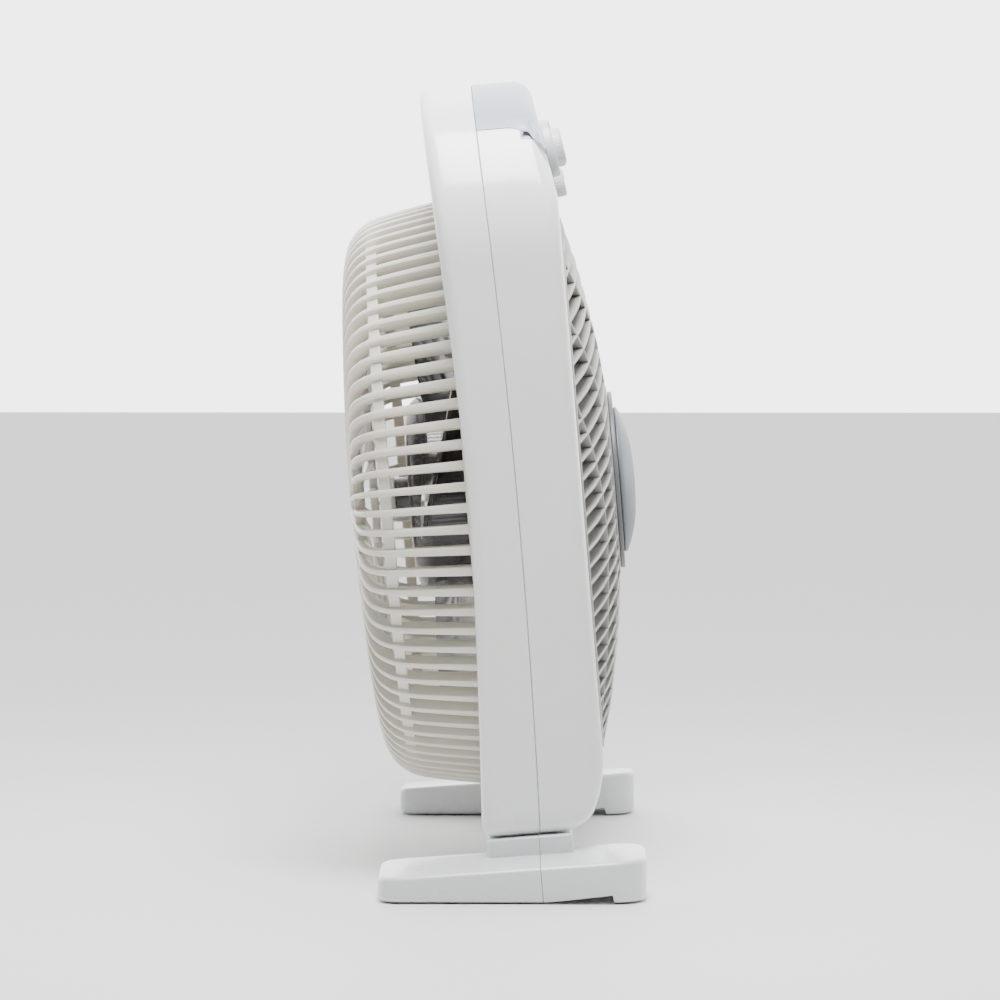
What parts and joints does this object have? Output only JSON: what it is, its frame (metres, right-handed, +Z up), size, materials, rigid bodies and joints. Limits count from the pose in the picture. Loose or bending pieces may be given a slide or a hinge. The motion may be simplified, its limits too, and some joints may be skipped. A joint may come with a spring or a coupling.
{
  "type": "box fan",
  "caption": "Square floor fan that leans back on two split feet, with a basket guard behind, a turning louvre grille in front and three knobs on a top panel.",
  "frame": {"origin": "centre of the fan on the floor, in plan the middle of its bounding box", "axes": "+Z up, the front with the louvre and knobs faces -Y, +X to the right seen from the front"},
  "size_m": [0.472, 0.1783, 0.4607],
  "materials": {
    "white_plastic": "moulded, glossy",
    "panel_plastic": "moulded, light blue-grey",
    "knob_plastic": "moulded",
    "guard_plastic": "moulded, warm off-white",
    "louvre_plastic": "moulded, warm light grey",
    "flange_plastic": "moulded grey",
    "cap_plastic": "moulded, blue-grey",
    "foot_plastic": "moulded, cool off-white",
    "smoked_plastic": "smoked, glossy, slightly see-through",
    "nut_plastic": "milky, slightly see-through",
    "spider_plastic": "moulded",
    "black_plastic": "moulded",
    "motor_steel": "plated sheet steel",
    "core_steel": "laminated steel",
    "shaft_steel": "ground",
    "bronze": "sintered",
    "copper": "enamelled copper wire",
    "screw_steel": "zinc plated",
    "rubber": "moulded",
    "film": "film capacitor case"
  },
  "bodies": {
    "housing": {"capacitor": "film", "control_panel": "panel_plastic", "cord_gland": "black_plastic", "front_bearing": "bronze", "front_coil": "copper", "front_housing": "white_plastic", "housing_screw_1": "screw_steel", "housing_screw_2": "screw_steel", "housing_screw_3": "screw_steel", "housing_screw_4": "screw_steel", "left_front_foot": "foot_plastic", "left_front_foot_pad": "rubber", "left_front_foot_screw": "screw_steel", "left_rear_foot": "foot_plastic", "left_rear_foot_pad": "rubber", "left_rear_foot_screw": "screw_steel", "louvre_motor": "motor_steel", "louvre_switch": "black_plastic", "motor_front_cover": "motor_steel", "motor_lead": "black_plastic", "motor_rear_cover": "motor_steel", "motor_screw_1": "screw_steel", "motor_screw_2": "screw_steel", "motor_spider": "spider_plastic", "motor_stator": "core_steel", "rear_bearing": "bronze", "rear_coil": "copper", "rear_guard": "guard_plastic", "rear_housing": "white_plastic", "right_front_foot": "foot_plastic", "right_front_foot_pad": "rubber", "right_front_foot_screw": "screw_steel", "right_rear_foot": "foot_plastic", "right_rear_foot_pad": "rubber", "right_rear_foot_screw": "screw_steel", "speed_switch": "black_plastic", "spider_screw_1": "screw_steel", "spider_screw_2": "screw_steel", "spider_screw_3": "screw_steel", "spider_screw_4": "screw_steel", "terminal_block": "black_plastic", "timer_unit": "black_plastic"},
    "impeller_assembly": {"motor_rotor": "core_steel", "motor_shaft": "shaft_steel", "impeller": "smoked_plastic", "spinner_nut": "nut_plastic"},
    "louvre_assembly": {"louvre_grille": "louvre_plastic", "louvre_flange": "flange_plastic", "louvre_hub_cap": "cap_plastic", "louvre_drive_shaft": "shaft_steel"},
    "timer_control": {"timer_knob": "knob_plastic", "timer_spindle": "shaft_steel"},
    "speed_control": {"speed_knob": "knob_plastic", "speed_spindle": "shaft_steel"},
    "louvre_control": {"louvre_knob": "knob_plastic", "louvre_spindle": "shaft_steel"}
  },
  "joints": [
    {"name": "impeller_spin", "type": "hinge", "parent": "housing", "child": "impeller_assembly", "pos_m": [0, -0.01671, 0.22006], "axis": [0, -0.9966, 0.0819], "continuous": true},
    {"name": "louvre_spin", "type": "hinge", "parent": "housing", "child": "louvre_assembly", "pos_m": [0, -0.01671, 0.22006], "axis": [0, -0.9966, 0.0819], "continuous": true},
    {"name": "timer_turn", "type": "hinge", "parent": "housing", "child": "timer_control", "pos_m": [-0.06, -0.03162, 0.42216], "axis": [0, 0.969, -0.247], "range_deg": [0, 300]},
    {"name": "speed_turn", "type": "hinge", "parent": "housing", "child": "speed_control", "pos_m": [0.06, -0.03162, 0.42216], "axis": [0, 0.969, -0.247], "range_deg": [0, 135]},
    {"name": "louvre_switch_turn", "type": "hinge", "parent": "housing", "child": "louvre_control", "pos_m": [0, -0.03656, 0.4028], "axis": [0, 0.969, -0.247], "range_deg": [0, 60]}
  ]
}
